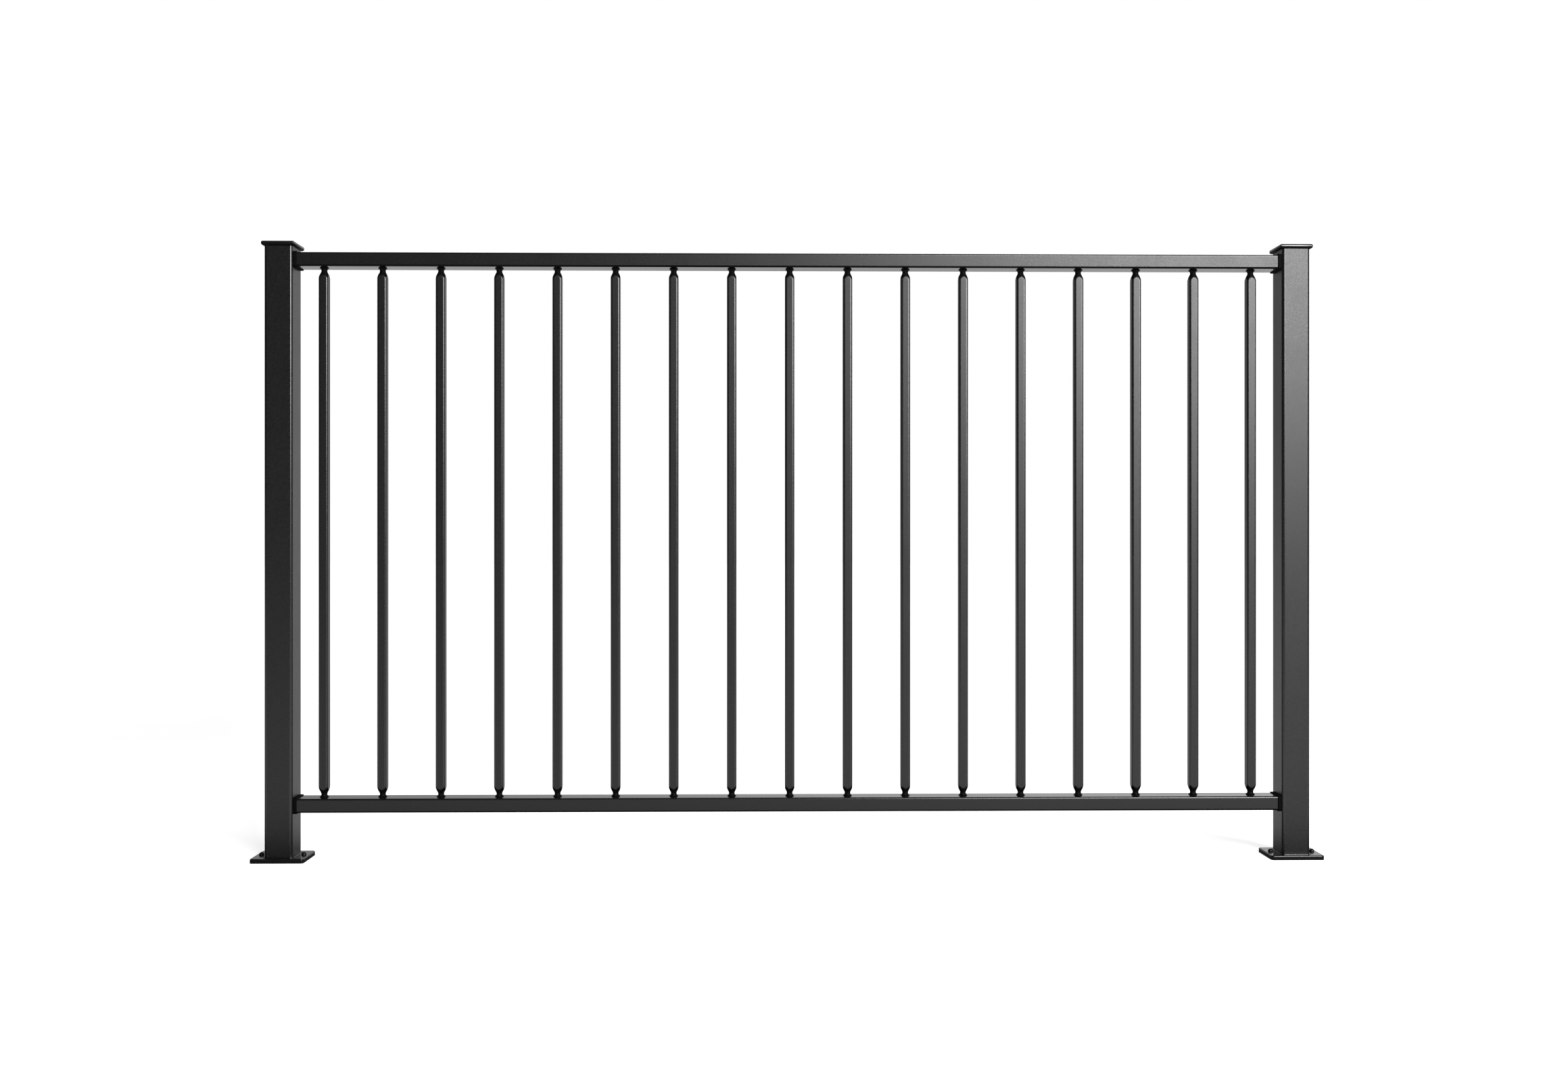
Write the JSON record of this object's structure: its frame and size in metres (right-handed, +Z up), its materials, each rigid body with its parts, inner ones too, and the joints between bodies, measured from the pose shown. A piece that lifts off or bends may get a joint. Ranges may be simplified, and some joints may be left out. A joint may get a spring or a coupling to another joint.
{
  "type": "metal railing fence panel",
  "caption": "Black square-bar railing fence panel: tube posts on bolted base plates, top and bottom rails on end brackets, and balusters with tapered turned ends.",
  "frame": {"origin": "on the ground, at the middle of the left base plate's underside", "axes": "+X along the panel to the right post, +Y through the panel to its far side, +Z up"},
  "size_m": [1.907, 0.07, 1.1],
  "materials": {
    "black_powder_coat": "satin black powder coat with a fine texture, on steel",
    "bracket_nylon": "matte black moulded nylon"
  },
  "bodies": {
    "root": {"left_base_plate": "black_powder_coat", "right_base_plate": "black_powder_coat", "left_post": "black_powder_coat", "right_post": "black_powder_coat", "left_post_cap": "black_powder_coat", "right_post_cap": "black_powder_coat", "top_rail": "black_powder_coat", "bottom_rail": "black_powder_coat", "baluster_01": "black_powder_coat", "baluster_02": "black_powder_coat", "baluster_03": "black_powder_coat", "baluster_04": "black_powder_coat", "baluster_05": "black_powder_coat", "baluster_06": "black_powder_coat", "baluster_07": "black_powder_coat", "baluster_08": "black_powder_coat", "baluster_09": "black_powder_coat", "baluster_10": "black_powder_coat", "baluster_11": "black_powder_coat", "baluster_12": "black_powder_coat", "baluster_13": "black_powder_coat", "baluster_14": "black_powder_coat", "baluster_15": "black_powder_coat", "baluster_16": "black_powder_coat", "baluster_17": "black_powder_coat", "top_left_bracket": "bracket_nylon", "top_right_bracket": "bracket_nylon", "bottom_left_bracket": "bracket_nylon", "bottom_right_bracket": "bracket_nylon"}
  },
  "joints": []
}
